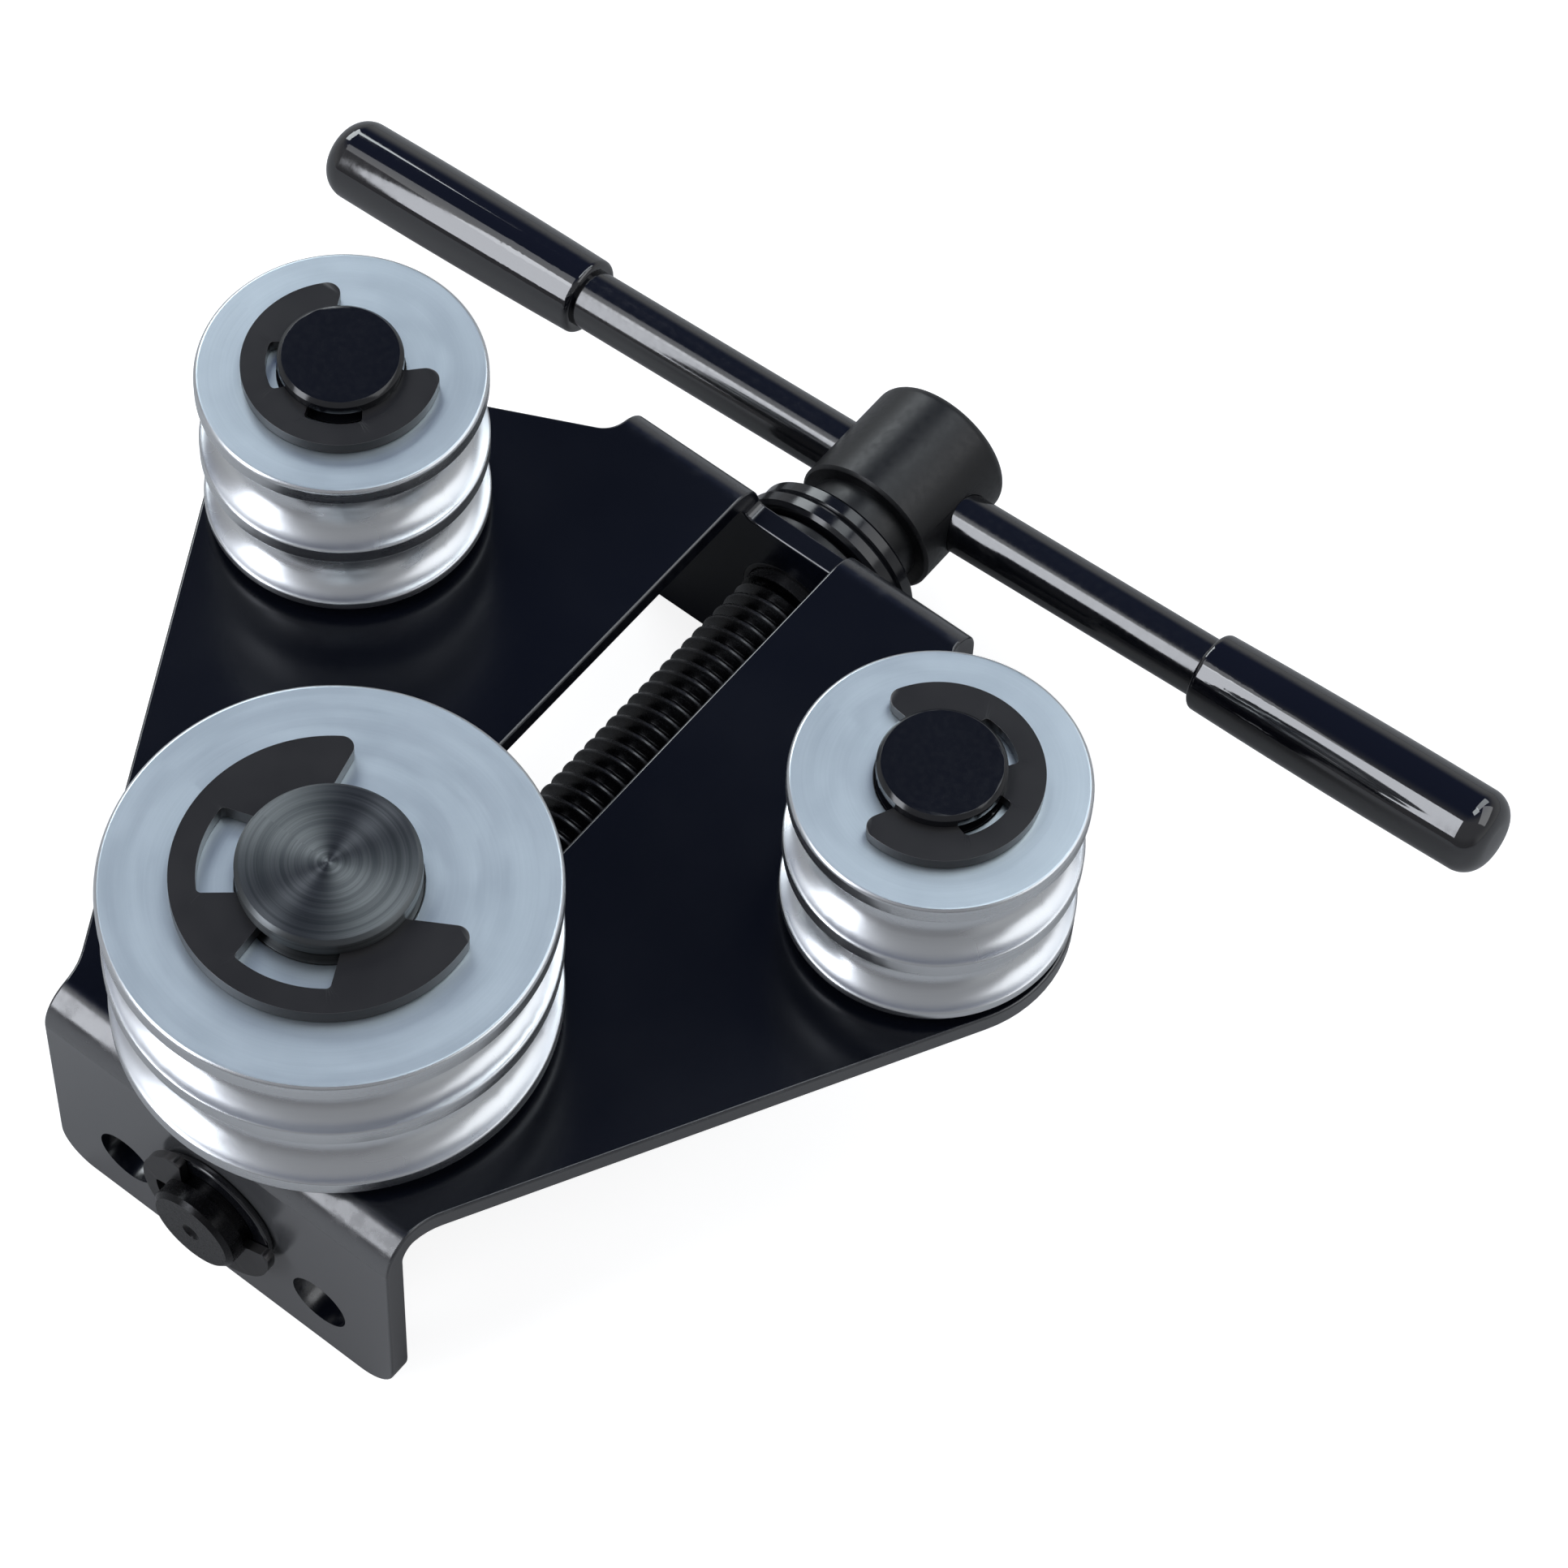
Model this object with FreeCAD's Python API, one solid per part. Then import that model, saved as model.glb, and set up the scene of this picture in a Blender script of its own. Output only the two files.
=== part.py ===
import FreeCAD, Part
import math
import os
from FreeCAD import Rotation, Vector

# Pipe bender with two fixed side rollers and one main roller that a hand screw draws between them.
# Millimetres, Z up, Y along the screw from its free end to its handle, X across.
# The origin is midway between the two mounting holes, on the outer face of the front flange.

# Base plate, one bent steel sheet
sheet = 3.0
bend_inner = 2.0
body_length = 110.7
flange_width = 52.0
flange_height = 35.0
flange_corner = 5.0
shoulder_front = 6.25
shoulder_rear_inset = 5.8
shoulder_front_fillet = 10.0
shoulder_rear_fillet = 3.5
plate_corner = 17.5
sheet_edge_round = 0.35

# Mounting holes in the front flange
mount_diameter = 8.0
mount_spacing = 30.0
mount_height = 10.0

# Slot for the main roller's axle
slot_width = 15.0
slot_end_play = 1.3
slot_drop = 5.0
slot_drop_corner = 1.25

# Places of the rollers and of the screw
main_roller_y = 22.2
side_roller_x = 44.5
side_roller_y = 76.2
screw_depth = 18.0

# Rollers, with the widths of their lands and grooves from the bottom up
roller_rim_chamfer = 0.35
main_roller_diameter = 52.5
main_lands = (2.3, 2.3, 2.5)
main_grooves = ((9.9, 4.0), (8.0, 3.6))
side_roller_diameter = 35.0
side_lands = (1.5, 2.2, 2.4)
side_grooves = ((8.9, 3.6), (10.0, 4.0))

# Axles
main_axle_diameter = 21.0
main_axle_rise = 31.0
main_spigot_diameter = 14.4
main_spigot_wall = 2.0
side_axle_diameter = 15.0
side_axle_rise = 30.0
side_spigot_diameter = 10.0
rivet_diameter = 14.0
rivet_height = 1.5
axle_chamfer = 0.5

# Washers under the rollers
base_washer_thickness = 1.5
base_washer_chamfer = 0.2
main_washer_diameter = 34.0
side_washer_diameter = 24.0

# Retaining clips: their outer, relief and grip radii, thickness and the rounding of their tips
main_clip_outer = 17.9
main_clip_relief = 14.8
main_clip_grip = 9.2
main_clip_thickness = 2.0
main_clip_tip = 1.5
side_clip_outer = 11.9
side_clip_relief = 8.9
side_clip_grip = 6.1
side_clip_thickness = 1.6
side_clip_tip = 1.6
screw_clip_outer = 9.6
screw_clip_relief = 7.6
screw_clip_grip = 5.4
screw_clip_thickness = 1.2
screw_clip_tip = 0.8
clip_relief_round = 0.6

# Angles that the clips' openings face
main_clip_opening = 67.5
left_clip_opening = 83.0
right_clip_opening = 208.5
screw_clip_opening = 60.0

# Half angles of the clips' mouths at their outer and grip radii, and of their two relief pockets
main_clip_mouth = (51.5, 67.0)
side_clip_mouth = (46.0, 56.0)
screw_clip_mouth = (51.5, 67.0)
clip_finger_outer = 18.0
clip_finger_inner = 12.0
clip_relief_outer = 63.5
clip_relief_inner = 73.0

# Lead screw, twelve threads to the inch
inch = 25.4
thread_pitch = inch / 12
thread_depth = 1.25
thread_crest_share = 0.16
thread_base_share = 0.9
screw_diameter = 12.7
screw_nose = 5.0
front_journal_diameter = 12.0
screw_collar = 1.5
centre_drill_diameter = 2.5
screw_in_boss = 8.0
screw_nose_chamfer = 0.6

# Washers and bush on the screw
front_washer_diameter = 17.0
front_washer_thickness = 1.0
front_washer_chamfer = 0.2
bush_diameter = 14.3
bush_collar_diameter = 22.0
bush_collar = 2.5
thrust_washer_thickness = 2.4
inner_thrust_diameter = 25.0
outer_thrust_diameter = 24.0
washer_chamfer = 0.5

# Slider block under the plate
slider_width = 24.0
slider_length = 26.0
slider_floor = 4.5
slider_chamfer = 1.5

# Handle boss
boss_neck_diameter = 16.0
boss_neck = 4.9
boss_diameter = 20.0
boss_length = 17.0
boss_end_round = 1.6
boss_neck_round = 0.4

# Sliding bar and its grips
bar_diameter = 8.0
bar_tip_to_tip = 184.5
bar_place = 8.2
bar_offset = -1.9
bar_tilt = 4.5
grip_mouth_diameter = 10.5
grip_diameter = 11.2
grip_end_diameter = 11.1
grip_length = 42.8
grip_end_wall = 1.8
grip_end_dome = 0.7
grip_end_round = 3.4
grip_mouth_round = 0.8

# Clearances
seat_gap = 0.05
clip_gap = 0.1
running_fit = 0.05
loose_fit = 0.15
slider_gap = 0.3
shoulder_play = 0.2

# How far cutters run past what they cut, and how near an edge has to be to a place to be picked
overshoot = 1.0
pick_reach = 0.01

# Levels and places that follow from the sizes above
shoulder_rear = body_length - shoulder_rear_inset
foot_z = -mount_height
plate_top = foot_z + flange_height
plate_under = plate_top - sheet
screw_z = plate_top - screw_depth
spigot_end = screw_z + screw_diameter / 2 + loose_fit + main_spigot_wall
roller_bottom = plate_top + seat_gap + base_washer_thickness + seat_gap
bend_outer = bend_inner + sheet
side_places = {"left": -side_roller_x, "right": side_roller_x}
thrust_start = body_length + bush_collar + clip_gap
boss_start = thrust_start + 2 * thrust_washer_thickness + 2 * clip_gap
bar_y = boss_start + boss_neck + bar_place
front_washer_face = -clip_gap - front_washer_thickness


def save(shape, node):
    """Write one named piece."""
    shape.exportStep("parts/" + node + ".step")


def polar(radius, angle):
    """Point in the XY plane at an angle in degrees."""
    turn = math.radians(angle)
    return Vector(radius * math.cos(turn), radius * math.sin(turn), 0)


def closed_wire(start, steps):
    """Closed wire through points; a step of two points is an arc through the first to the second."""
    edges = []
    here = start
    for step in steps:
        if isinstance(step, tuple):
            edges.append(Part.Arc(here, step[0], step[1]).toShape())
            here = step[1]
        else:
            edges.append(Part.LineSegment(here, step).toShape())
            here = step
    edges.append(Part.LineSegment(here, start).toShape())
    return Part.Wire(edges)


def turned(profile):
    """Solid turned about Z from a closed run of (radius, height) points."""
    points = [Vector(radius, 0, height) for radius, height in profile]
    face = Part.Face(Part.makePolygon(points + points[:1]))
    return face.revolve(Vector(0, 0, 0), Vector(0, 0, 1), 360)


def along_y(shape, y, z):
    """Turn a piece built along Z so that it runs along Y from the given place."""
    placed = shape.copy()
    placed.rotate(Vector(0, 0, 0), Vector(1, 0, 0), -90)
    placed.translate(Vector(0, y, z))
    return placed


def ring(outer_radius, inner_radius, thickness, chamfer):
    """Flat ring on the XY plane with its outer edges chamfered."""
    return turned([
        (inner_radius, 0),
        (outer_radius - chamfer, 0),
        (outer_radius, chamfer),
        (outer_radius, thickness - chamfer),
        (outer_radius - chamfer, thickness),
        (inner_radius, thickness),
    ])


def near(value, target):
    """Whether a coordinate or length is at its target."""
    return abs(value - target) < pick_reach


def edges_where(shape, test):
    """Edges of a shape whose two ends both pass a test."""
    return [edge for edge in shape.Edges
            if len(edge.Vertexes) == 2 and all(test(end.Point) for end in edge.Vertexes)]


def touch_point(outside, centre, radius, side):
    """Point where a line from a point outside a circle touches it."""
    reach = outside - centre
    half_turn = math.degrees(math.acos(radius / reach.Length))
    direction = Rotation(Vector(0, 0, 1), side * half_turn).multVec(reach.normalize())
    return centre + direction * radius


def mirrored(point):
    """The same point on the other side of the middle plane."""
    return Vector(-point.x, point.y, point.z)


def plate_outline():
    """Prism of the plate's outline seen from above, taller than the plate and its flanges."""
    half = flange_width / 2
    centre = Vector(side_roller_x, side_roller_y, 0)
    front = Vector(half, shoulder_front, 0)
    rear = Vector(half, shoulder_rear, 0)
    front_touch = touch_point(front, centre, plate_corner, 1)
    rear_touch = touch_point(rear, centre, plate_corner, -1)
    middle = ((front_touch + rear_touch) * 0.5 - centre).normalize()
    outermost = centre + middle * plate_corner
    right_front = Vector(half, -overshoot, 0)
    right_rear = Vector(half, body_length + overshoot, 0)
    wire = closed_wire(right_front, [
        front,
        front_touch,
        (outermost, rear_touch),
        rear,
        right_rear,
        mirrored(right_rear),
        mirrored(rear),
        mirrored(rear_touch),
        (mirrored(outermost), mirrored(front_touch)),
        mirrored(front),
        mirrored(right_front),
    ])
    prism = Part.Face(wire).extrude(Vector(0, 0, flange_height + 2 * overshoot))
    for place, radius in ((shoulder_front, shoulder_front_fillet), (shoulder_rear, shoulder_rear_fillet)):
        corners = edges_where(prism, lambda end: near(end.y, place) and near(abs(end.x), half))
        prism = prism.makeFillet(radius, corners)
    prism.translate(Vector(0, 0, foot_z - overshoot))
    return prism


def bent_section():
    """The sheet with its two bends, wider than the plate."""
    slant = math.sqrt(0.5)

    def at(y, z):
        return Vector(0, y, z)

    def on_bend(centre_y, radius, side):
        return at(centre_y + side * radius * slant, plate_top - bend_outer + radius * slant)

    rear = body_length
    wire = closed_wire(at(0, foot_z), [
        at(0, plate_top - bend_outer),
        (on_bend(bend_outer, bend_outer, -1), at(bend_outer, plate_top)),
        at(rear - bend_outer, plate_top),
        (on_bend(rear - bend_outer, bend_outer, 1), at(rear, plate_top - bend_outer)),
        at(rear, foot_z),
        at(rear - sheet, foot_z),
        at(rear - sheet, plate_top - bend_outer),
        (on_bend(rear - bend_outer, bend_inner, 1), at(rear - bend_outer, plate_under)),
        at(bend_outer, plate_under),
        (on_bend(bend_outer, bend_inner, -1), at(sheet, plate_top - bend_outer)),
        at(sheet, foot_z),
    ])
    half = side_roller_x + plate_corner + overshoot
    section = Part.Face(wire).extrude(Vector(2 * half, 0, 0))
    section.translate(Vector(-half, 0, 0))
    return section


def slot_cutter():
    """Space of the slot: round in front, open through the rear bend, with a flat end in the flange."""
    half = slot_width / 2
    centre_y = main_roller_y - main_spigot_diameter / 2 - slot_end_play + half
    depth = sheet + 2 * overshoot
    bottom = plate_under - overshoot
    low = plate_top - slot_drop
    front_end = Part.makeCylinder(half, depth, Vector(0, centre_y, bottom))
    run_length = body_length - bend_outer - centre_y
    run = Part.makeBox(slot_width, run_length, depth, Vector(-half, centre_y, bottom))
    drop = Part.makeBox(
        slot_width, bend_outer + overshoot, slot_drop + overshoot,
        Vector(-half, body_length - bend_outer, low))
    corners = edges_where(drop, lambda end: near(end.z, low))
    corners = [edge for edge in corners if near(edge.Vertexes[0].X, edge.Vertexes[1].X)]
    drop = drop.makeFillet(slot_drop_corner, corners)
    return front_end.fuse(run).fuse(drop)


def base_plate():
    """Bent plate with its slot, mounting holes, screw holes and the holes of the side axles."""
    plate = bent_section().common(plate_outline())
    half = flange_width / 2
    feet = edges_where(plate, lambda end: near(end.z, foot_z) and near(abs(end.x), half))
    feet = [edge for edge in feet if near(edge.Length, sheet)]
    plate = plate.makeFillet(flange_corner, feet)
    plate = plate.cut(slot_cutter())
    through = Vector(0, 1, 0)
    depth = sheet + 2 * overshoot
    for side in (-1, 1):
        start = Vector(side * mount_spacing / 2, -overshoot, 0)
        plate = plate.cut(Part.makeCylinder(mount_diameter / 2, depth, start, through))
    front_hole = front_journal_diameter / 2 + running_fit
    plate = plate.cut(Part.makeCylinder(front_hole, depth, Vector(0, -overshoot, screw_z), through))
    rear_start = Vector(0, body_length - sheet - overshoot, screw_z)
    plate = plate.cut(Part.makeCylinder(bush_diameter / 2, depth, rear_start, through))
    for x in side_places.values():
        start = Vector(x, side_roller_y, plate_under - overshoot)
        plate = plate.cut(Part.makeCylinder(side_spigot_diameter / 2, depth, start))
    plate = plate.removeSplitter()
    return plate.makeFillet(sheet_edge_round, [edge for edge in plate.Edges if not edge.isClosed()])


def roller(diameter, bore_diameter, lands, grooves):
    """Grooved roller standing on the XY plane."""
    outer = diameter / 2
    bore = bore_diameter / 2

    def at(radius, height):
        return Vector(radius, 0, height)

    steps = [at(outer - roller_rim_chamfer, 0), at(outer, roller_rim_chamfer)]
    height = 0
    for land, (width, depth) in zip(lands, grooves):
        height += land
        steps.append(at(outer, height))
        steps.append((at(outer - depth, height + width / 2), at(outer, height + width)))
        height += width
    height += lands[-1]
    steps.append(at(outer, height - roller_rim_chamfer))
    steps.append(at(outer - roller_rim_chamfer, height))
    steps.append(at(bore, height))
    face = Part.Face(closed_wire(at(bore, 0), steps))
    return face.revolve(Vector(0, 0, 0), Vector(0, 0, 1), 360)


def roller_height(lands, grooves):
    """Height of a roller from its lands and grooves."""
    return sum(lands) + sum(width for width, depth in grooves)


def wedge(inner_radius, outer_radius, angles):
    """Flat area between two slanting lines, run on past the two circles that give their points."""
    low_inner, low_outer, high_outer, high_inner = angles
    low_in = polar(inner_radius, low_inner)
    low_out = polar(outer_radius, low_outer)
    high_in = polar(inner_radius, high_inner)
    high_out = polar(outer_radius, high_outer)
    low_past = (low_out - low_in) / 2
    high_past = (high_out - high_in) / 2
    points = [
        low_in - low_past,
        low_out + low_past,
        polar(2 * outer_radius, (low_outer + high_outer) / 2),
        high_out + high_past,
        high_in - high_past,
    ]
    return Part.Face(Part.makePolygon(points + points[:1]))


def e_clip(outer, relief, grip, thickness, tip_round, mouth, opening):
    """Three-fingered clip on the XY plane that opens toward the given angle."""
    up = Vector(0, 0, thickness)
    clip = Part.makeCylinder(outer, thickness).cut(Part.makeCylinder(grip, thickness))
    mouth_outer, mouth_inner = mouth
    mouth_angles = (-mouth_inner, -mouth_outer, mouth_outer, mouth_inner)
    clip = clip.cut(wedge(grip, outer, mouth_angles).extrude(up))
    pocket_angles = (clip_finger_inner, clip_finger_outer, clip_relief_outer, clip_relief_inner)
    pocket = wedge(grip, relief, pocket_angles).extrude(up).common(Part.makeCylinder(relief, thickness))
    for mirror in (1, -1):
        cutter = pocket.copy()
        if mirror < 0:
            cutter = cutter.mirror(Vector(0, 0, 0), Vector(0, 1, 0))
        cutter.rotate(Vector(0, 0, 0), Vector(0, 0, 1), 180)
        clip = clip.cut(cutter)

    def standing_at(radius):
        edges = edges_where(clip, lambda end: near(math.hypot(end.x, end.y), radius))
        return [edge for edge in edges if near(edge.Length, thickness)]

    tips = standing_at(outer)
    pockets = standing_at(relief)
    clip = clip.makeFillet(tip_round, tips)
    pockets = [edge for edge in clip.Edges
               if any(edge.CenterOfMass.isEqual(pocket.CenterOfMass, pick_reach) for pocket in pockets)]
    clip = clip.makeFillet(clip_relief_round, pockets)
    clip.rotate(Vector(0, 0, 0), Vector(0, 0, 1), opening)
    return clip


def side_axle(x):
    """Riveted axle of a side roller, with its clip groove and chamfered head."""
    shaft = side_axle_diameter / 2
    top = plate_top + side_axle_rise
    groove_low = clip_level(side_lands, side_grooves)
    groove_top = groove_low + side_clip_thickness + clip_gap
    axle = turned([
        (0, plate_under - rivet_height),
        (rivet_diameter / 2 - rivet_height / 2, plate_under - rivet_height),
        (rivet_diameter / 2, plate_under - rivet_height / 2),
        (rivet_diameter / 2, plate_under),
        (side_spigot_diameter / 2, plate_under),
        (side_spigot_diameter / 2, plate_top),
        (shaft, plate_top),
        (shaft, groove_low),
        (side_clip_grip, groove_low),
        (side_clip_grip, groove_top),
        (shaft, groove_top),
        (shaft, top - axle_chamfer),
        (shaft - axle_chamfer, top),
        (0, top),
    ])
    axle.translate(Vector(x, side_roller_y, 0))
    return axle


def clip_level(lands, grooves):
    """Height of the underside of the clip groove above a roller."""
    return roller_bottom + roller_height(lands, grooves) + clip_gap / 2


def main_axle():
    """Axle of the main roller, with the spigot that runs in the slot and seats in the slider block."""
    shaft = main_axle_diameter / 2
    spigot = main_spigot_diameter / 2
    top = plate_top + main_axle_rise
    groove_low = clip_level(main_lands, main_grooves)
    groove_top = groove_low + main_clip_thickness + clip_gap
    axle = turned([
        (0, spigot_end),
        (spigot, spigot_end),
        (spigot, plate_top + seat_gap),
        (shaft, plate_top + seat_gap),
        (shaft, groove_low),
        (main_clip_grip, groove_low),
        (main_clip_grip, groove_top),
        (shaft, groove_top),
        (shaft, top - axle_chamfer),
        (shaft - axle_chamfer, top),
        (0, top),
    ])
    axle.translate(Vector(0, main_roller_y, 0))
    return axle


def slider_block():
    """Nut block under the plate that carries the main axle along the screw."""
    top = plate_under - slider_gap
    bore = screw_diameter / 2 + loose_fit
    bottom = screw_z - bore - slider_floor
    corner = Vector(-slider_width / 2, main_roller_y - slider_length / 2, bottom)
    block = Part.makeBox(slider_width, slider_length, top - bottom, corner)
    lower = edges_where(block, lambda end: near(end.z, bottom))
    block = block.makeChamfer(slider_chamfer, lower)
    start = Vector(0, main_roller_y - slider_length, screw_z)
    block = block.cut(Part.makeCylinder(bore, 2 * slider_length, start, Vector(0, 1, 0)))
    seat = Vector(0, main_roller_y, spigot_end)
    return block.cut(Part.makeCylinder(main_spigot_diameter / 2, plate_top - spigot_end, seat))


def thread_rings(start, end):
    """Outline of the thread between two places, with a ring in place of each turn of the helix."""
    crest = screw_diameter / 2
    root = crest - thread_depth
    half_base = thread_pitch * thread_base_share / 2
    half_crest = thread_pitch * thread_crest_share / 2
    turns = int((end - start) / thread_pitch)
    first = (start + end - (turns - 1) * thread_pitch) / 2
    points = []
    for turn in range(turns):
        middle = first + turn * thread_pitch
        points.append((root, middle - half_base))
        points.append((crest, middle - half_crest))
        points.append((crest, middle + half_crest))
        points.append((root, middle + half_base))
    return points


def lead_screw():
    """Screw with a nose journal for the clip, a threaded length and a plain rear journal."""
    nose = -screw_nose
    shoulder = sheet + shoulder_play
    thread_start = shoulder + screw_collar
    thread_end = body_length - sheet - screw_collar
    end = boss_start + screw_in_boss
    journal = front_journal_diameter / 2
    plain = screw_diameter / 2
    root = plain - thread_depth
    clip_rear = front_washer_face - clip_gap / 2
    clip_front = clip_rear - screw_clip_thickness - clip_gap
    drill = centre_drill_diameter / 2
    screw = turned([
        (0, nose + drill),
        (drill, nose),
        (journal - screw_nose_chamfer, nose),
        (journal, nose + screw_nose_chamfer),
        (journal, clip_front),
        (screw_clip_grip, clip_front),
        (screw_clip_grip, clip_rear),
        (journal, clip_rear),
        (journal, shoulder),
        (plain, shoulder),
        (plain, thread_start),
        (root, thread_start),
        *thread_rings(thread_start, thread_end),
        (root, thread_end),
        (plain, thread_end),
        (plain, end),
        (0, end),
    ])
    return along_y(screw, 0, screw_z)


def rear_bush():
    """Collared bush in the rear flange."""
    bore = screw_diameter / 2 + running_fit
    collar = bush_collar_diameter / 2
    bush = turned([
        (bore, 0),
        (bush_diameter / 2, 0),
        (bush_diameter / 2, sheet),
        (collar, sheet),
        (collar, sheet + bush_collar - washer_chamfer),
        (collar - washer_chamfer, sheet + bush_collar),
        (bore, sheet + bush_collar),
    ])
    return along_y(bush, body_length - sheet, screw_z)


def handle_boss():
    """Round head on the screw, with a neck, a blind bore for the screw and a cross hole for the bar."""
    neck = boss_neck_diameter / 2
    outer = boss_diameter / 2
    length = boss_neck + boss_length
    blank = turned([
        (0, 0),
        (neck, 0),
        (neck, boss_neck),
        (outer - boss_neck_round, boss_neck),
        (outer, boss_neck + boss_neck_round),
        (outer, length),
        (0, length),
    ])
    rim = [edge for edge in blank.Edges
           if near(edge.CenterOfMass.z, length) and edge.Length > math.pi * outer]
    blank = blank.makeFillet(boss_end_round, rim)
    blank = blank.cut(Part.makeCylinder(screw_diameter / 2, screw_in_boss))
    boss = along_y(blank, boss_start, screw_z)
    hole_radius = bar_diameter / 2 + running_fit
    start = Vector(-boss_diameter, bar_y, screw_z)
    hole = Part.makeCylinder(hole_radius, 2 * boss_diameter, start, Vector(1, 0, 0))
    return boss.cut(tilted(hole))


def tilted(shape):
    """Turn a piece about the screw's axis to the bar's resting angle."""
    turned_shape = shape.copy()
    turned_shape.rotate(Vector(0, bar_y, screw_z), Vector(0, 1, 0), -bar_tilt)
    return turned_shape


def sliding_bar():
    """Round bar through the boss, ending inside the two grips."""
    half = bar_tip_to_tip / 2 - grip_end_wall
    start = Vector(bar_offset - half, bar_y, screw_z)
    return tilted(Part.makeCylinder(bar_diameter / 2, 2 * half, start, Vector(1, 0, 0)))


def grip(side):
    """Closed sleeve over one end of the bar, slightly barrelled, with a domed end."""
    bore = bar_diameter / 2
    mouth_radius = grip_mouth_diameter / 2
    end_radius = grip_end_diameter / 2
    dome_start = grip_length - grip_end_dome

    def at(radius, height):
        return Vector(radius, 0, height)

    face = Part.Face(closed_wire(at(bore, 0), [
        at(mouth_radius, 0),
        (at(grip_diameter / 2, grip_length / 2), at(end_radius, dome_start)),
        (at(end_radius / 2, grip_length - grip_end_dome / 4), at(0, grip_length)),
        at(0, grip_length - grip_end_wall),
        at(bore, grip_length - grip_end_wall),
    ]))
    sleeve = face.revolve(Vector(0, 0, 0), Vector(0, 0, 1), 360)

    def rim_at(radius, height):
        return [edge for edge in sleeve.Edges
                if near(edge.CenterOfMass.z, height) and near(edge.Length, 2 * math.pi * radius)]

    sleeve = sleeve.makeFillet(grip_end_round, rim_at(end_radius, dome_start))
    sleeve = sleeve.makeFillet(grip_mouth_round, rim_at(mouth_radius, 0))
    sleeve.rotate(Vector(0, 0, 0), Vector(0, 1, 0), 90 * side)
    mouth = bar_offset + side * (bar_tip_to_tip / 2 - grip_length)
    sleeve.translate(Vector(mouth, bar_y, screw_z))
    return tilted(sleeve)


def build():
    """Make and save every piece."""
    save(base_plate(), "base_plate")

    side_height = roller_height(side_lands, side_grooves)
    side_bore = side_axle_diameter + 2 * running_fit
    openings = {"left": left_clip_opening, "right": right_clip_opening}
    for side, x in side_places.items():
        save(side_axle(x), side + "_axle")
        washer = ring(side_washer_diameter / 2, side_axle_diameter / 2 + loose_fit, base_washer_thickness,
                      base_washer_chamfer)
        washer.translate(Vector(x, side_roller_y, plate_top))
        save(washer, side + "_base_washer")
        wheel = roller(side_roller_diameter, side_bore, side_lands, side_grooves)
        wheel.translate(Vector(x, side_roller_y, roller_bottom))
        save(wheel, side + "_roller")
        clip = e_clip(side_clip_outer, side_clip_relief, side_clip_grip, side_clip_thickness,
                      side_clip_tip, side_clip_mouth, openings[side])
        clip.translate(Vector(x, side_roller_y, roller_bottom + side_height + clip_gap))
        save(clip, side + "_e_clip")

    main_height = roller_height(main_lands, main_grooves)
    main_bore = main_axle_diameter + 2 * running_fit
    save(main_axle(), "main_axle")
    washer = ring(main_washer_diameter / 2, main_axle_diameter / 2 + loose_fit, base_washer_thickness,
                  base_washer_chamfer)
    washer.translate(Vector(0, main_roller_y, plate_top + seat_gap))
    save(washer, "main_base_washer")
    wheel = roller(main_roller_diameter, main_bore, main_lands, main_grooves)
    wheel.translate(Vector(0, main_roller_y, roller_bottom))
    save(wheel, "main_roller")
    clip = e_clip(main_clip_outer, main_clip_relief, main_clip_grip, main_clip_thickness,
                  main_clip_tip, main_clip_mouth, main_clip_opening)
    clip.translate(Vector(0, main_roller_y, roller_bottom + main_height + clip_gap))
    save(clip, "main_e_clip")
    save(slider_block(), "slider_block")

    save(lead_screw(), "lead_screw")
    front_bore = front_journal_diameter / 2 + loose_fit
    washer = ring(front_washer_diameter / 2, front_bore, front_washer_thickness, front_washer_chamfer)
    save(along_y(washer, front_washer_face, screw_z), "front_washer")
    clip = e_clip(screw_clip_outer, screw_clip_relief, screw_clip_grip, screw_clip_thickness,
                  screw_clip_tip, screw_clip_mouth, -screw_clip_opening)
    save(along_y(clip, front_washer_face - clip_gap - screw_clip_thickness, screw_z), "front_e_clip")
    save(rear_bush(), "rear_bush")
    rear_bore = screw_diameter / 2 + loose_fit
    places = {"inner": inner_thrust_diameter, "outer": outer_thrust_diameter}
    start = thrust_start
    for name, diameter in places.items():
        washer = ring(diameter / 2, rear_bore, thrust_washer_thickness, washer_chamfer)
        save(along_y(washer, start, screw_z), "thrust_washer_" + name)
        start += thrust_washer_thickness + clip_gap

    save(handle_boss(), "handle_boss")
    save(sliding_bar(), "sliding_bar")
    save(grip(-1), "left_grip")
    save(grip(1), "right_grip")


build()
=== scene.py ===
import math

import bmesh
import bpy
from mathutils import Matrix, Vector


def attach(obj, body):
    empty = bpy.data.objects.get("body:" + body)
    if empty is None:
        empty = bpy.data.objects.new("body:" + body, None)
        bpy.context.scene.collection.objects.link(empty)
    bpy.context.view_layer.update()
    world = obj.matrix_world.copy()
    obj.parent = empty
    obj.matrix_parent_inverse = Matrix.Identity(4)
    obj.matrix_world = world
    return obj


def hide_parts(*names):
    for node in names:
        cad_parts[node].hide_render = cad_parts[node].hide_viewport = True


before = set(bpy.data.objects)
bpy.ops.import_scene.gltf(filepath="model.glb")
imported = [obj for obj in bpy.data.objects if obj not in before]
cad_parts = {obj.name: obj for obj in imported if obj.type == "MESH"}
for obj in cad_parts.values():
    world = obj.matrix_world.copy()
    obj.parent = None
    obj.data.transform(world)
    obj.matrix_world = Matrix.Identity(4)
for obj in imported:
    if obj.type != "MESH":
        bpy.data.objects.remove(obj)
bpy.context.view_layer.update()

# Lengths are in metres, Z up, Y along the screw toward its handle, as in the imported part
MM = 0.001

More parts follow.
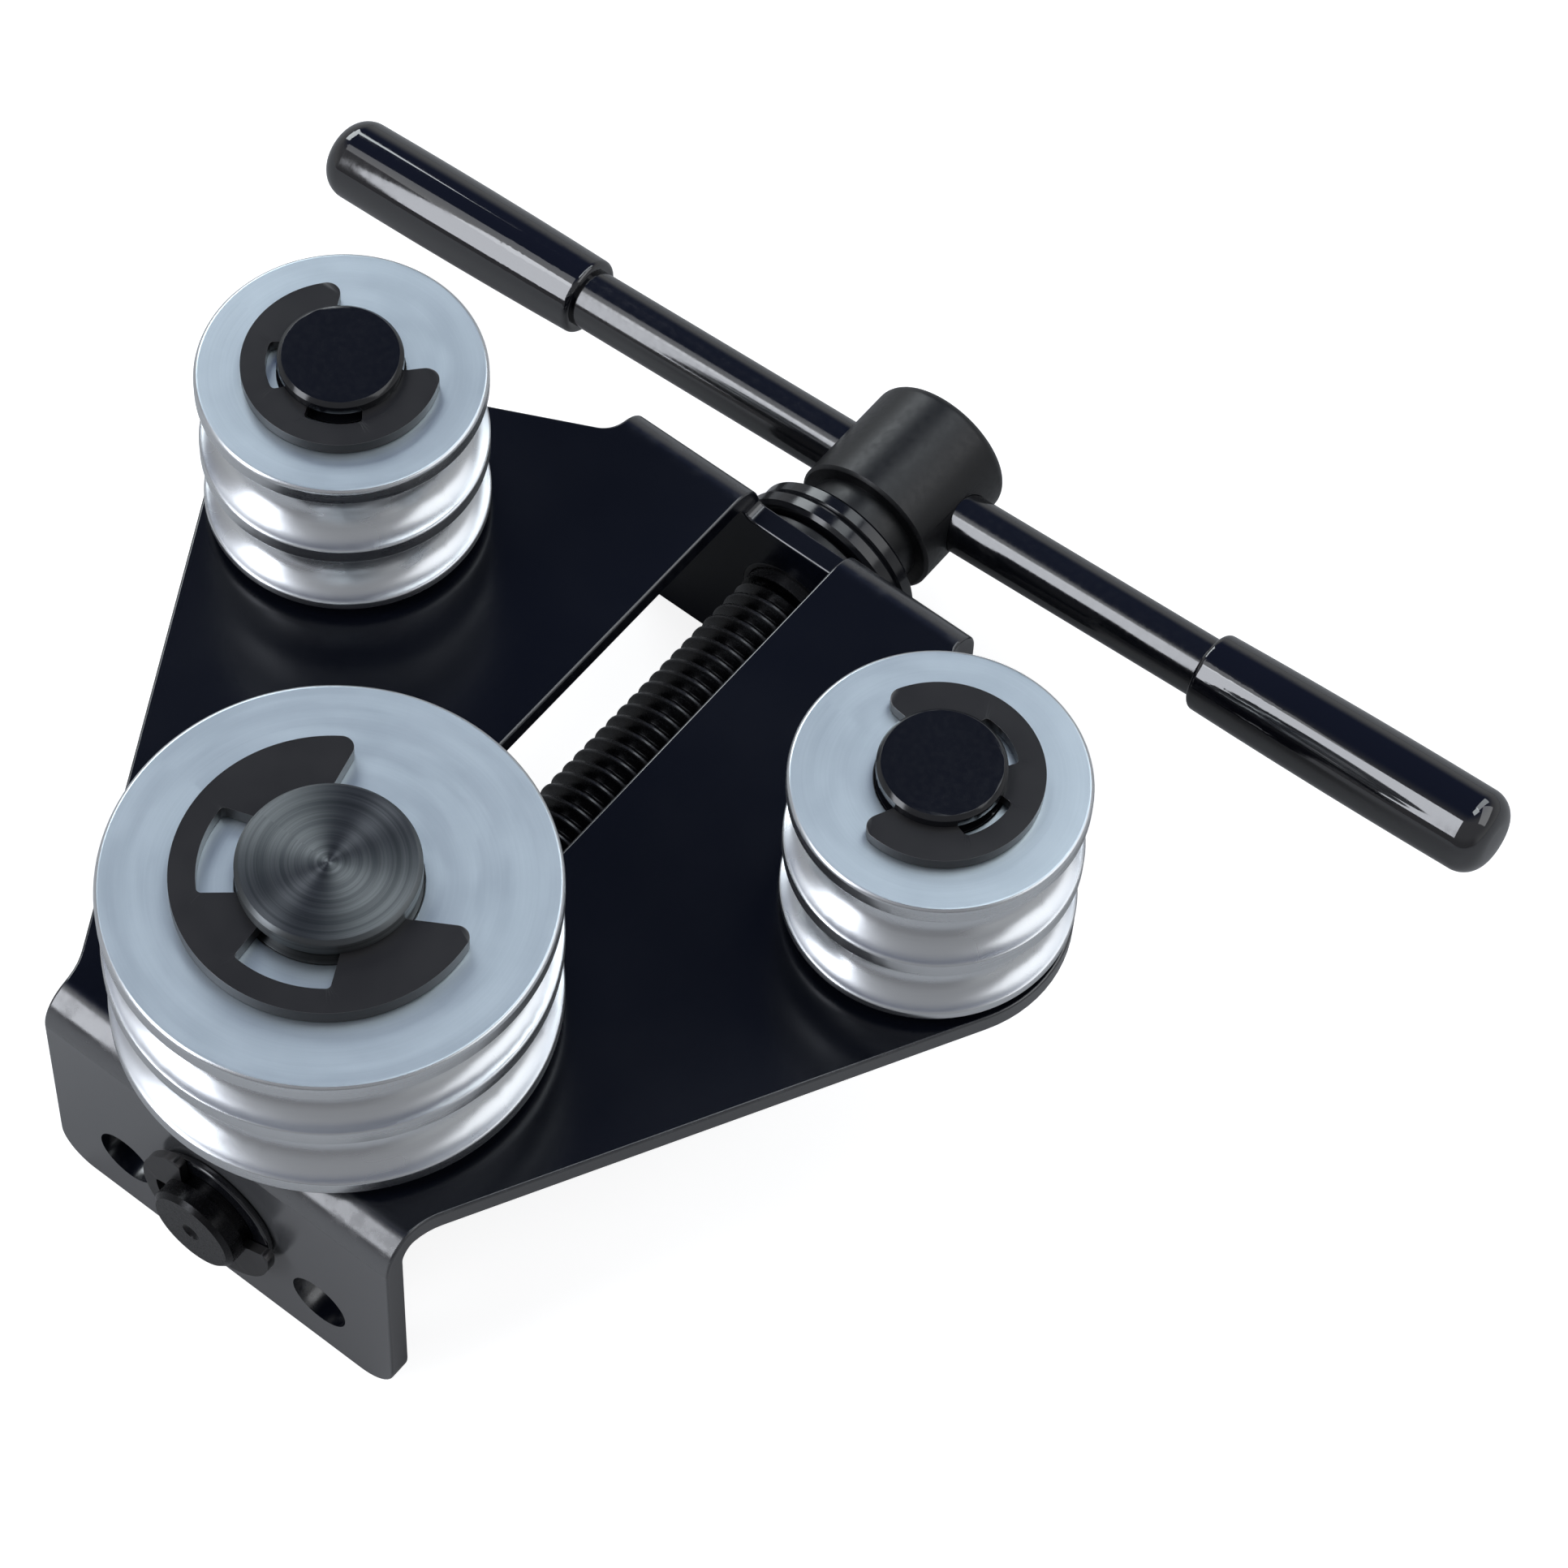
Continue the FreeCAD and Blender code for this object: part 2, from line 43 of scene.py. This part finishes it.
# Places in the part
SCREW_Z = 7 * MM
ROLLER_TOP = 51.6 * MM
MAIN_PLACE = (0.0, 22.2 * MM)
SIDE_PLACES = {"left": (-44.5 * MM, 76.2 * MM), "right": (44.5 * MM, 76.2 * MM)}

# Thread of the lead screw; its outline over one pitch is in shares of the pitch and of the depth
THREAD_PITCH = 25.4 / 12 * MM
THREAD_CREST = 6.35 * MM
THREAD_ROOT = 5.1 * MM
THREAD_START = 4.7 * MM
THREAD_END = 106.2 * MM
THREAD_RUN_OUT = 0.8 * THREAD_PITCH
THREAD_OUTLINE = (
    (0.02, 0.0), (0.06, 0.04), (0.40, 0.93), (0.44, 1.0),
    (0.56, 1.0), (0.60, 0.93), (0.94, 0.04), (0.98, 0.0),
)

# Turned ends of the lead screw, as places along it and radii in millimetres
SCREW_NOSE = (
    (-3.75, 0.0), (-5.0, 1.25), (-5.0, 5.4), (-4.4, 6.0), (-2.45, 6.0), (-2.45, 5.4),
    (-1.15, 5.4), (-1.15, 6.0), (3.2, 6.0), (3.2, 6.35), (4.7, 6.35), (4.7, 5.1),
)
SCREW_TAIL = ((106.2, 5.1), (106.2, 6.35), (126.3, 6.35), (126.3, 0.0))
SCREW_SEGMENTS = 72

# Edges
WELD_DISTANCE = 1e-6
SHARP_ANGLE = math.radians(40)
BEVEL_ANGLE = math.radians(35)
BEVEL_SEGMENTS = 2
ROLLER_BEVEL = 0.2 * MM
SMALL_BEVEL = 0.1 * MM

# Camera as fitted to the photograph: angles in degrees, lens and sensor in millimetres
CAMERA_AZIMUTH = 34.67
CAMERA_ELEVATION = 58.44
CAMERA_ROLL = 4.01
CAMERA_DISTANCE = 637.2 * MM
CAMERA_TARGET = Vector((21.94, 77.79, 25.0)) * MM
CAMERA_LENS = 123.19
CAMERA_SENSOR = 36.0
CAMERA_CLIP = (0.05, 10.0)

# Floor: what it reflects, and its own brightness where the camera sees it
FLOOR_Z = -10 * MM
FLOOR_SIZE = 6
FLOOR_COLOUR = (0.5, 0.5, 0.5, 1)
FLOOR_BRIGHTNESS = 0.85

# Bearings in degrees of the darker wall in front, and of the ceiling that the plate's top mirrors
DARK_WALL = (15, 0)
MIRRORED_CEILING = (-145, 58)

# Lamps: name, bearing in degrees, distance, size, level, tint, long side square to X or not
LAMPS = (
    ("key", (-31, 35), 2.5, (0.85, 2.2), 4.7, (0.90, 0.93, 1.0), True),
    ("left", (-64, 54), 1.3, (0.5, 0.4), 1.0, (0.96, 0.98, 1.0), False),
    ("right", (124, 43), 1.3, (1.15, 0.75), 1.25, (0.96, 0.98, 1.0), False),
    ("back", (-115, 32), 1.3, (0.7, 0.5), 4.5, (0.92, 0.98, 1.0), False),
    ("rear", (176, 50), 1.3, (0.4, 0.9), 2.1, (0.92, 0.98, 1.0), False),
    ("overhead", (165, 76), 1.3, (0.4, 0.4), 3.3, (0.92, 0.98, 1.0), False),
)


class Graph:
    """Short way to build the node tree of a material or of the world."""

    def __init__(self, owner):
        owner.use_nodes = True
        self.tree = owner.node_tree
        self.tree.nodes.clear()

    def add(self, kind, inputs=None, **settings):
        made = self.tree.nodes.new("ShaderNode" + kind)
        for name, value in settings.items():
            setattr(made, name, value)
        for key, value in (inputs or {}).items():
            self.put(made.inputs[key], value)
        return made

    def put(self, socket, value):
        if isinstance(value, bpy.types.NodeSocket):
            self.tree.links.new(value, socket)
        else:
            socket.default_value = value

    def math(self, operation, *values, clamp=False):
        made = self.add("Math", operation=operation, use_clamp=clamp)
        for socket, value in zip(made.inputs, values):
            self.put(socket, value)
        return made.outputs[0]

    def vector(self, operation, *values):
        made = self.add("VectorMath", operation=operation)
        for socket, value in zip(made.inputs, values):
            self.put(socket, value)
        return made.outputs[1 if operation == "DOT_PRODUCT" else 0]

    def split(self, vector):
        made = self.add("SeparateXYZ", {0: vector})
        return made.outputs[0], made.outputs[1], made.outputs[2]

    def join(self, x, y, z):
        return self.add("CombineXYZ", {0: x, 1: y, 2: z}).outputs[0]

    def length(self, a, b):
        """Length of a line that goes a one way and b square to it."""
        squares = [self.math("MULTIPLY", side, side) for side in (a, b)]
        return self.math("SQRT", self.math("ADD", *squares))

    def noise(self, vector, scale, detail=3.0, roughness=0.5):
        """Noise from 0 to 1 on a vector in metres, turned so that its rows follow no flat face."""
        slanted = self.add("Mapping", {"Vector": vector, "Rotation": (0.5, 0.8, 0.3)}).outputs[0]
        made = self.add("TexNoise", {"Vector": slanted, "Scale": scale, "Detail": detail,
                                     "Roughness": roughness}, noise_dimensions="3D")
        return made.outputs[0]

    def span(self, value, low, high, to_low=0.0, to_high=1.0):
        """Value from low to high, brought smoothly to another range and held at its ends."""
        made = self.add("MapRange", {"Value": value, "From Min": low, "From Max": high,
                                     "To Min": to_low, "To Max": to_high},
                        interpolation_type="SMOOTHSTEP")
        return made.outputs[0]

    def spread(self, noise, low, high):
        """Noise, most of which lies from 0.3 to 0.7, brought to another range."""
        return self.span(noise, 0.3, 0.7, low, high)

    def blend(self, factor, first, second):
        """Colour between two colours."""
        made = self.add("Mix", data_type="RGBA")
        self.put(made.inputs[0], factor)
        for key, colour in ((6, first), (7, second)):
            self.put(made.inputs[key], (*colour, 1) if isinstance(colour, tuple) else colour)
        return made.outputs[2]

    def bump(self, height, distance, strength):
        made = self.add("Bump", {"Height": height, "Distance": distance, "Strength": strength})
        return made.outputs[0]

    def place(self):
        """Point on the piece, in the part's frame at rest."""
        return self.add("TexCoord").outputs["Object"]

    def normal(self):
        """The piece's own normal, in the part's frame at rest."""
        return self.add("TexCoord").outputs["Normal"]

    def from_screw(self):
        """Distance from the screw's axis."""
        x, _, z = self.split(self.vector("SUBTRACT", self.place(), (0, 0, SCREW_Z)))
        return self.length(x, z)

    def lathe(self, centre, slope):
        """Place across the marks of a lathe, turn about its upright axis in radians, and height."""
        x, y, height = self.split(self.vector("SUBTRACT", self.place(), (*centre, 0)))
        across = self.math("ADD", self.length(x, y), self.math("MULTIPLY", height, slope))
        return across, self.math("ARCTAN2", y, x), height

    def rings(self, across, turn, drift, scale, detail, roughness=0.5):
        """Noise in rings, which wander by so many metres a radian."""
        wound = self.join(across, 0.0, self.math("MULTIPLY", turn, drift))
        return self.noise(wound, scale, detail, roughness)

    def edge(self):
        """0 on level and upright faces, 1 on rounded edges between them."""
        z = self.split(self.normal())[2]
        level = self.math("ABSOLUTE", z)
        rest = self.math("SUBTRACT", 1.0, self.math("MULTIPLY", z, z), clamp=True)
        upright = self.math("SQRT", rest)
        return self.math("MULTIPLY", self.math("MULTIPLY", level, upright), 2.0, clamp=True)

    def finish(self, **inputs):
        """Principled surface; an underscore in a name stands for a space."""
        sockets = {key.replace("_", " "): value for key, value in inputs.items()}
        shader = self.add("BsdfPrincipled", sockets)
        self.add("OutputMaterial", {"Surface": shader.outputs[0]})


def material(name):
    made = bpy.data.materials.new(name)
    return made, Graph(made)


def shade(tone, colour):
    return tuple(tone * level for level in colour)


def painted_plate():
    """Smooth black powder coat with a faint orange peel and rubbed edges."""
    made, g = material("plate_paint")
    place = g.place()
    peel = g.noise(place, 900, 2)
    cloud = g.noise(place, 45, 3)
    rub = g.math("MULTIPLY", g.edge(), g.span(g.noise(place, 420, 4), 0.45, 0.7))
    colour = g.blend(cloud, (0.0026, 0.0034, 0.0068), (0.0038, 0.0048, 0.0088))
    colour = g.blend(g.math("MULTIPLY", rub, 0.5), colour, (0.03, 0.032, 0.036))
    rough = g.math("ADD", g.spread(cloud, 0.18, 0.22), g.math("MULTIPLY", rub, 0.12))
    # Of the faces that look forward, the front flange gets a paler colour as painted light,
    # standing in for the lit floor it mirrors; the rear flange's inner face keeps the dark colour
    # and shines less, as painted shade
    _, facing, upward = g.split(g.normal())
    ahead = g.span(facing, -0.6, -0.95)
    inside = g.math("MULTIPLY", g.span(g.split(place)[1], 80 * MM, 100 * MM), ahead)
    front_painted_light = g.math("SUBTRACT", ahead, inside)
    colour = g.blend(front_painted_light, colour, (0.078, 0.080, 0.084))
    # Upright faces and the bends shine more than level ones
    gloss = g.span(g.math("ABSOLUTE", upward), 0.97, 1.0, 2.0, 1.45)
    gloss = g.math("SUBTRACT", gloss, g.math("MULTIPLY", inside, 0.75))
    g.finish(Base_Color=colour, Roughness=rough, IOR=gloss, Normal=g.bump(peel, 0.01 * MM, 0.6))
    return made


def zinc(name, centre):
    """Bright zinc plate over turned steel: faint rings and cloudy patches; the top is tinted cooler
    than the flanks as a painted reflection of the bluish ceiling.
    """
    made, g = material(name)
    across, turn, height = g.lathe(centre, 1.7)
    rings = g.rings(across, turn, 0.0002, 3200, 3, 0.65)
    broad = g.rings(across, turn, 0.004, 420, 2)
    cloud = g.noise(g.place(), 130, 4)
    mottle = g.math("ADD", g.math("MULTIPLY", cloud, 0.6), g.math("MULTIPLY", rings, 0.4))
    level = g.span(g.math("ABSOLUTE", g.split(g.normal())[2]), 0.9, 0.98)
    high = g.span(height, ROLLER_TOP - 0.3 * MM, ROLLER_TOP - 0.1 * MM)
    top = g.math("MULTIPLY", level, high)
    flank_colour = g.blend(rings, (0.66, 0.68, 0.70), (0.72, 0.74, 0.76))
    # The top's cooler tint is a painted reflection of the bluish ceiling
    top_colour_with_painted_sky = g.blend(g.span(mottle, 0.35, 0.65), (0.62, 0.70, 0.75), (0.67, 0.75, 0.80))
    rough = g.math("ADD", g.span(top, 0.0, 1.0, 0.28, 0.40), g.spread(broad, -0.02, 0.02))
    g.finish(Base_Color=g.blend(top, flank_colour, top_colour_with_painted_sky), Metallic=1.0, Roughness=rough,
             Normal=g.bump(rings, 0.002 * MM, g.math("MULTIPLY", top, 0.8)))
    return made


def clip_steel(name, tone=1.0):
    """Dark phosphated spring steel whose rounded edges are paler and metallic, partly rubbed bare
    and partly a painted highlight.
    """
    made, g = material(name)
    place = g.place()
    grain = g.noise(place, 1100, 2)
    cloud = g.noise(place, 160, 3)
    edge = g.span(g.edge(), 0.3, 0.8)
    face_colour = g.blend(cloud, shade(tone, (0.017, 0.0165, 0.0175)),
                          shade(tone, (0.023, 0.022, 0.023)))
    # The paler metallic edges are partly wear and partly a painted highlight
    g.finish(Base_Color=g.blend(edge, face_colour, shade(tone, (0.26, 0.25, 0.25))),
             Metallic=g.math("MULTIPLY", edge, 0.8), Roughness=g.spread(cloud, 0.29, 0.33),
             IOR=1.45, Normal=g.bump(grain, 0.002 * MM, 0.8))
    return made


def turned_axle():
    """Blackened head of the main axle with the marks of the lathe."""
    made, g = material("turned_axle")
    across, turn, _ = g.lathe(MAIN_PLACE, 1.3)
    fine = g.rings(across, turn, 0.0001, 4200, 2, 0.6)
    coarse = g.rings(across, turn, 0.0, 1300, 1)
    lines = g.math("ADD", g.math("MULTIPLY", fine, 0.4), g.math("MULTIPLY", coarse, 0.6))
    colour = g.blend(g.span(lines, 0.35, 0.65), (0.09, 0.098, 0.102), (0.16, 0.17, 0.175))
    tangent = g.add("Tangent", direction_type="RADIAL", axis="Z").outputs[0]
    g.finish(Base_Color=colour, Metallic=1.0, Roughness=0.42, Anisotropic=0.9,
             Anisotropic_Rotation=0.25, Tangent=tangent, Normal=g.bump(lines, 0.004 * MM, 0.9))
    return made


def milled_steel():
    """Blackened block with the straight marks of a mill along it."""
    made, g = material("milled_steel")
    place = g.place()
    lines = g.noise(g.vector("MULTIPLY", place, (1.0, 0.03, 1.0)), 1500, 3, 0.6)
    cloud = g.noise(place, 140, 3)
    colour = g.blend(cloud, (0.07, 0.075, 0.078), (0.11, 0.116, 0.12))
    g.finish(Base_Color=colour, Metallic=1.0, Roughness=g.spread(lines, 0.34, 0.44),
             Normal=g.bump(lines, 0.006 * MM, 0.8))
    return made


def smooth_black(name, rough_low, rough_high, ripple=0.004 * MM, tone=1.0, gloss=1.6):
    """Black oxide or enamel on a turned part, with fine unevenness."""
    made, g = material(name)
    place = g.place()
    cloud = g.noise(place, 110, 3)
    fine = g.noise(place, 1300, 3)
    colour = g.blend(cloud, shade(tone, (0.0040, 0.0044, 0.0062)),
                     shade(tone, (0.0068, 0.0074, 0.0098)))
    g.finish(Base_Color=colour, Roughness=g.spread(fine, rough_low, rough_high), IOR=gloss,
             Normal=g.bump(fine, ripple, 0.8))
    return made


def dipped():
    """Thick glossy dip coating, slightly wavy."""
    made, g = material("dip_coating")
    place = g.place()
    wave = g.noise(place, 120, 2)
    fine = g.noise(place, 900, 2)
    colour = g.blend(wave, (0.0030, 0.0032, 0.0052), (0.0044, 0.0046, 0.0070))
    height = g.math("ADD", wave, g.math("MULTIPLY", fine, 0.12))
    g.finish(Base_Color=colour, Roughness=g.spread(fine, 0.04, 0.07), IOR=1.9,
             Normal=g.bump(height, 0.015 * MM, 0.7))
    return made


def screw_steel():
    """Oiled black thread whose crests are paler, as a painted highlight."""
    made, g = material("screw_oxide")
    fine = g.noise(g.place(), 2200, 3)
    crest_highlight = g.span(g.from_screw(), 6.1 * MM, 6.36 * MM)
    # The paler crests are a painted highlight
    colour = g.blend(crest_highlight, (0.004, 0.004, 0.005), (0.05, 0.05, 0.053))
    g.finish(Base_Color=colour, Metallic=0.5, Roughness=g.spread(fine, 0.2, 0.3),
             Normal=g.bump(fine, 0.006 * MM, 0.8))
    return made


def lead_screw():
    """The screw with a true helical thread in place of the rings."""
    step = 2 * math.pi / SCREW_SEGMENTS
    shape = bmesh.new()

    def vertex(turn, along, radius):
        return shape.verts.new((radius * math.sin(turn), along, SCREW_Z + radius * math.cos(turn)))

    def turned(outline):
        rows = [[vertex(i * step, along * MM, radius * MM) for i in range(SCREW_SEGMENTS)]
                for along, radius in outline]
        for low, high in zip(rows, rows[1:]):
            for i in range(SCREW_SEGMENTS):
                j = (i + 1) % SCREW_SEGMENTS
                shape.faces.new((low[i], low[j], high[j], high[i]))

    def run_out(along):
        """0 at either end of the thread, 1 where it has its full depth."""
        inside = min(along - THREAD_START, THREAD_END - along) / THREAD_RUN_OUT
        inside = max(0.0, min(1.0, inside))
        return inside * inside * (3 - 2 * inside)

    turned(SCREW_NOSE)
    depth = THREAD_CREST - THREAD_ROOT
    # One turn more at each end; what lies past the thread's ends folds onto them and is welded
    turns = int((THREAD_END - THREAD_START) / THREAD_PITCH) + 3
    rows = []
    for count in range(turns):
        for share, rise in THREAD_OUTLINE:
            row = []
            for i in range(SCREW_SEGMENTS):
                along = THREAD_START + THREAD_PITCH * (count - 1 + share + i / SCREW_SEGMENTS)
                along = max(THREAD_START, min(THREAD_END, along))
                row.append(vertex(i * step, along, THREAD_ROOT + depth * rise * run_out(along)))
            rows.append(row)
    jump = len(THREAD_OUTLINE)
    for index in range(len(rows) - 1 - jump):
        low, high = rows[index], rows[index + 1]
        for i in range(SCREW_SEGMENTS - 1):
            shape.faces.new((low[i], low[i + 1], high[i + 1], high[i]))
        shape.faces.new((low[-1], rows[index + jump][0], rows[index + jump + 1][0], high[-1]))
    turned(SCREW_TAIL)
    bmesh.ops.remove_doubles(shape, verts=shape.verts, dist=WELD_DISTANCE)
    bmesh.ops.dissolve_degenerate(shape, edges=shape.edges, dist=WELD_DISTANCE)
    loose = [edge for edge in shape.edges if not edge.link_faces]
    bmesh.ops.delete(shape, geom=loose, context="EDGES")
    bmesh.ops.recalc_face_normals(shape, faces=shape.faces)
    mesh = bpy.data.meshes.new("helical_screw")
    shape.to_mesh(mesh)
    shape.free()
    mesh.polygons.foreach_set("use_smooth", [True] * len(mesh.polygons))
    mesh.set_sharp_from_angle(angle=SHARP_ANGLE)
    made = bpy.data.objects.new("helical_screw", mesh)
    bpy.context.scene.collection.objects.link(made)
    return made


def dress(node, made):
    """Give a CAD node its material."""
    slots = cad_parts[node].data.materials
    slots.clear()
    slots.append(made)


def soften(node, width):
    """Round the sharp edges of a CAD node a little, so that they catch the light."""
    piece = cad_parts[node]
    weld = piece.modifiers.new("weld", "WELD")
    weld.merge_threshold = WELD_DISTANCE
    bevel = piece.modifiers.new("bevel", "BEVEL")
    bevel.width = width
    bevel.segments = BEVEL_SEGMENTS
    bevel.limit_method = "ANGLE"
    bevel.angle_limit = BEVEL_ANGLE
    piece.modifiers.new("weighted_normal", "WEIGHTED_NORMAL")


def direction(azimuth, elevation):
    """Unit vector toward a bearing in degrees; azimuth 0 is in front, 90 is at +X."""
    a, e = math.radians(azimuth), math.radians(elevation)
    return Vector((math.sin(a) * math.cos(e), -math.cos(a) * math.cos(e), math.sin(e)))


def surroundings():
    """Pale walls, darker in front, and a dim ceiling, bluish where the plate's top mirrors it."""
    world = bpy.data.worlds.new("studio")
    bpy.context.scene.world = world
    g = Graph(world)
    bearing = g.add("TexCoord").outputs["Generated"]
    in_front = g.vector("DOT_PRODUCT", bearing, direction(*DARK_WALL))
    walls = g.blend(g.span(in_front, 0.45, 0.75), (0.45, 0.46, 0.47), (0.20, 0.20, 0.21))
    mirrored = g.vector("DOT_PRODUCT", bearing, direction(*MIRRORED_CEILING))
    ceiling = g.blend(g.span(mirrored, 0.55, 0.88), (0.30, 0.305, 0.32), (0.04, 0.055, 0.12))
    colour = g.blend(g.span(g.split(bearing)[2], 0.1, 0.5), walls, ceiling)
    rays = g.add("LightPath")
    colour = g.blend(rays.outputs["Is Camera Ray"], colour, (1.0, 1.0, 1.0))
    background = g.add("Background", {"Color": colour, "Strength": 1.0})
    g.add("OutputWorld", {"Surface": background.outputs[0]})


def softbox(name, bearing, distance, size, level, tint, across_x):
    """Rectangular lamp that faces the object and isn't seen by the camera itself.

    Its long side points up, or square to the X axis, as a bar along X reflects it whole.
    """
    data = bpy.data.lights.new(name, "AREA")
    data.shape = "RECTANGLE"
    data.size, data.size_y = size
    data.energy = level * math.pi * size[0] * size[1]
    data.color = tint
    lamp = bpy.data.objects.new(name, data)
    toward = direction(*bearing)
    lamp.location = CAMERA_TARGET + toward * distance
    if across_x:
        upward = toward.cross(Vector((1, 0, 0))).normalized()
        axes = Matrix((upward.cross(toward), upward, toward)).transposed()
        lamp.rotation_euler = axes.to_euler()
    else:
        lamp.rotation_euler = toward.to_track_quat("Z", "Y").to_euler()
    lamp.visible_camera = False
    bpy.context.scene.collection.objects.link(lamp)


def floor():
    """Level floor that takes shadows and shows nearly white."""
    bpy.ops.mesh.primitive_plane_add(size=FLOOR_SIZE, location=(0, 0, FLOOR_Z))
    plane = bpy.context.object
    plane.name = "floor"
    made, g = material("floor_sweep")
    seen = g.add("LightPath").outputs["Is Camera Ray"]
    glow = g.add("Emission", {"Color": (1, 1, 1, 1),
                              "Strength": g.math("MULTIPLY", seen, FLOOR_BRIGHTNESS)})
    paper = g.add("BsdfDiffuse", {"Color": FLOOR_COLOUR})
    both = g.add("AddShader", {0: glow.outputs[0], 1: paper.outputs[0]})
    g.add("OutputMaterial", {"Surface": both.outputs[0]})
    plane.data.materials.append(made)


def camera():
    """Camera at the photograph's place, rolled about its own line of sight."""
    data = bpy.data.cameras.new("camera")
    data.lens = CAMERA_LENS
    data.sensor_width = CAMERA_SENSOR
    data.clip_start, data.clip_end = CAMERA_CLIP
    made = bpy.data.objects.new("camera", data)
    bpy.context.scene.collection.objects.link(made)
    back = direction(CAMERA_AZIMUTH, CAMERA_ELEVATION)
    azimuth, roll = math.radians(CAMERA_AZIMUTH), math.radians(CAMERA_ROLL)
    right = Vector((math.cos(azimuth), math.sin(azimuth), 0))
    up = back.cross(right)
    rolled_right = right * math.cos(roll) + up * math.sin(roll)
    rolled_up = up * math.cos(roll) - right * math.sin(roll)
    turn = Matrix((rolled_right, rolled_up, back)).transposed().to_4x4()
    made.matrix_world = Matrix.Translation(CAMERA_TARGET + back * CAMERA_DISTANCE) @ turn
    bpy.context.scene.camera = made


clip_finish = clip_steel("clip_steel")
pin_black = smooth_black("pin_black", 0.13, 0.18)
satin_black = smooth_black("satin_black", 0.36, 0.44, tone=0.5, gloss=1.5)
dip = dipped()

dress("base_plate", painted_plate())
dress("main_roller", zinc("zinc_main", MAIN_PLACE))
dress("main_base_washer", zinc("zinc_main_washer", MAIN_PLACE))
dress("main_axle", turned_axle())
dress("main_e_clip", clip_finish)
dress("slider_block", milled_steel())
# The nose's clip takes the clip steel at half tone, as painted shade under the big roller's
# overhang
dress("front_e_clip", clip_steel("nose_clip_steel", 0.5))
dress("rear_bush", satin_black)
dress("handle_boss", satin_black)
dress("sliding_bar", smooth_black("bar_black", 0.10, 0.16, 0.005 * MM, 0.8, 1.9))
for washer in ("front_washer", "thrust_washer_inner", "thrust_washer_outer"):
    dress(washer, pin_black)
for side, centre in SIDE_PLACES.items():
    dress(side + "_roller", zinc("zinc_" + side, centre))
    dress(side + "_base_washer", zinc("zinc_washer_" + side, centre))
    dress(side + "_axle", pin_black)
    dress(side + "_e_clip", clip_finish)
    dress(side + "_grip", dip)

for place in ("main", "left", "right"):
    soften(place + "_roller", ROLLER_BEVEL)
    soften(place + "_e_clip", ROLLER_BEVEL)
    soften(place + "_axle", SMALL_BEVEL)
for node in ("front_e_clip", "front_washer", "rear_bush", "handle_boss"):
    soften(node, SMALL_BEVEL)

screw = lead_screw()
screw.data.materials.append(screw_steel())
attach(screw, "screw")
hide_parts("lead_screw")

surroundings()
for lamp in LAMPS:
    softbox(*lamp)
floor()
camera()
bpy.context.scene.view_settings.view_transform = "Standard"
